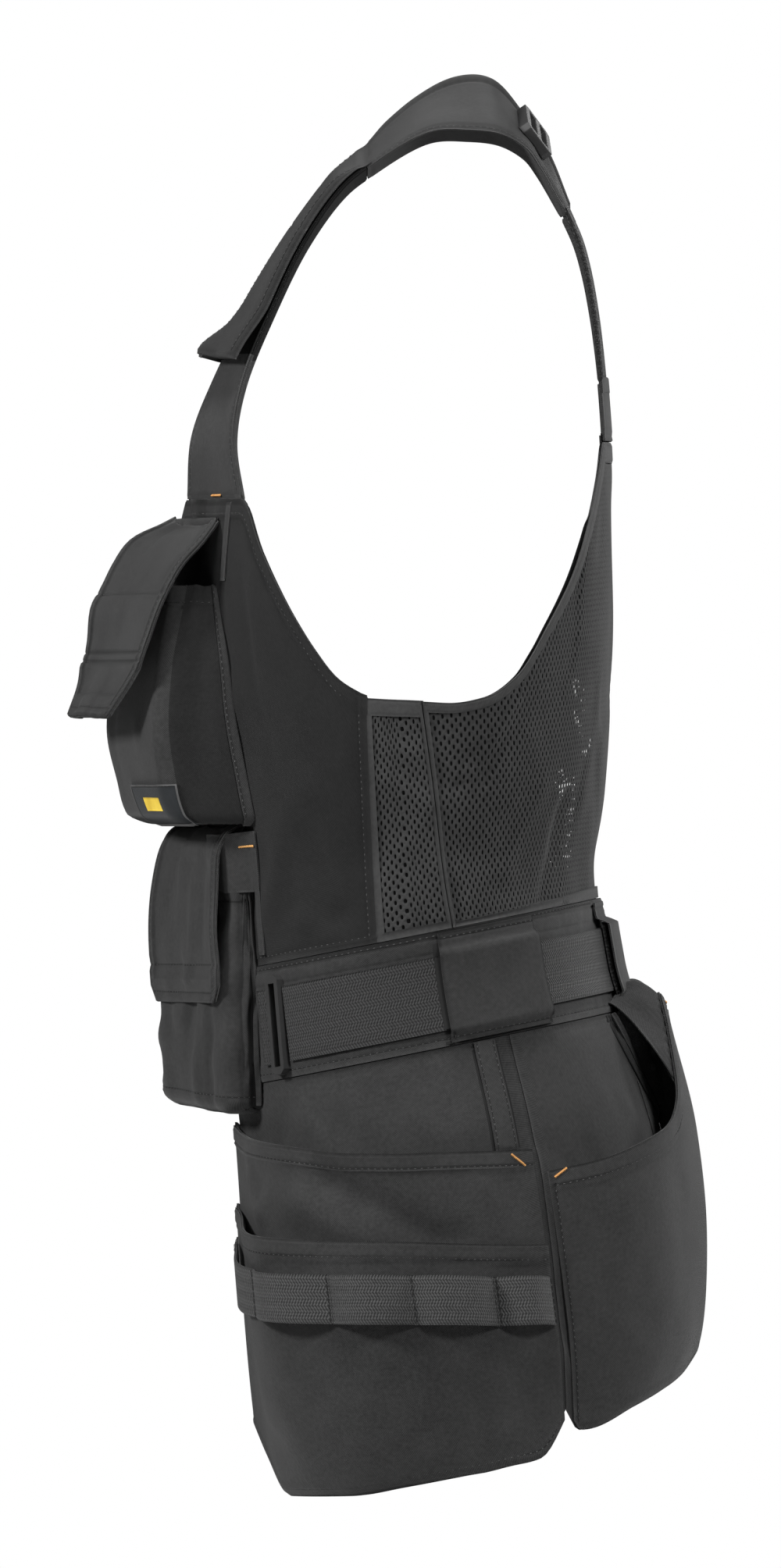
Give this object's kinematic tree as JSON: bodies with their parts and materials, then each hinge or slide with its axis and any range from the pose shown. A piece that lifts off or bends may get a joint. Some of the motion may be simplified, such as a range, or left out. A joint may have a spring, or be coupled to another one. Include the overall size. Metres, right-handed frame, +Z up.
{
  "type": "utility work vest",
  "caption": "Tool vest as worn: padded shoulder straps, mesh sides and back, flapped chest pockets, belt, and holster pockets with tool loops hanging at the hips.",
  "frame": {"origin": "midway between the wearer's shoulders, at the height where the shoulder pieces rest on them", "axes": "+X to the wearer's left, -Y to the wearer's front, +Z up"},
  "size_m": [0.432, 0.3314, 0.7426],
  "materials": {
    "shell_fabric": "matt black woven polyester",
    "mesh_fabric": "open knitted mesh",
    "reinforced_fabric": "matt dark grey coarse nylon",
    "webbing": "woven webbing with a slight sheen",
    "plastic": "matt black moulded",
    "label_fabric": "smooth woven label, bare but for a plain yellow bar",
    "zip_metal": "dark plated"
  },
  "bodies": {
    "root": {"front_panel_left": "shell_fabric", "front_panel_right": "shell_fabric", "side_mesh_left": "mesh_fabric", "side_mesh_right": "mesh_fabric", "back_mesh": "mesh_fabric", "front_strap_left": "reinforced_fabric", "front_strap_right": "reinforced_fabric", "shoulder_piece_left": "reinforced_fabric", "shoulder_piece_right": "reinforced_fabric", "strap_pad_left": "reinforced_fabric", "strap_pad_right": "reinforced_fabric", "chest_pocket_left": "reinforced_fabric", "chest_pocket_right": "reinforced_fabric", "chest_flap_left": "reinforced_fabric", "chest_flap_right": "reinforced_fabric", "lower_pocket_left": "reinforced_fabric", "lower_pocket_right": "reinforced_fabric", "lower_flap_left": "reinforced_fabric", "lower_flap_right": "reinforced_fabric", "waistband_left": "reinforced_fabric", "waistband_right": "reinforced_fabric", "belt_tunnel_left": "reinforced_fabric", "belt_tunnel_right": "reinforced_fabric", "back_loop_left": "reinforced_fabric", "back_loop_right": "reinforced_fabric", "hip_panel_front_left": "reinforced_fabric", "hip_panel_front_right": "reinforced_fabric", "hip_panel_back_left": "reinforced_fabric", "hip_panel_back_right": "reinforced_fabric", "seam_tape_left": "reinforced_fabric", "seam_tape_right": "reinforced_fabric", "holster_inner_left": "reinforced_fabric", "holster_inner_right": "reinforced_fabric", "holster_outer_left": "reinforced_fabric", "holster_outer_right": "reinforced_fabric", "back_holster_left": "reinforced_fabric", "back_holster_right": "reinforced_fabric", "back_tab": "reinforced_fabric", "waistband_back": "reinforced_fabric", "back_strap_left": "webbing", "back_strap_right": "webbing", "belt_webbing_left": "webbing", "belt_webbing_right": "webbing", "belt_tab_left": "webbing", "belt_tab_right": "webbing", "tool_webbing_left": "webbing", "tool_webbing_right": "webbing", "belt_elastic": "webbing", "strap_buckle_left": "plastic", "strap_buckle_right": "plastic", "belt_ring_left": "plastic", "belt_ring_right": "plastic", "zip": "plastic", "pocket_label": "label_fabric", "zip_pull": "zip_metal"}
  },
  "joints": []
}
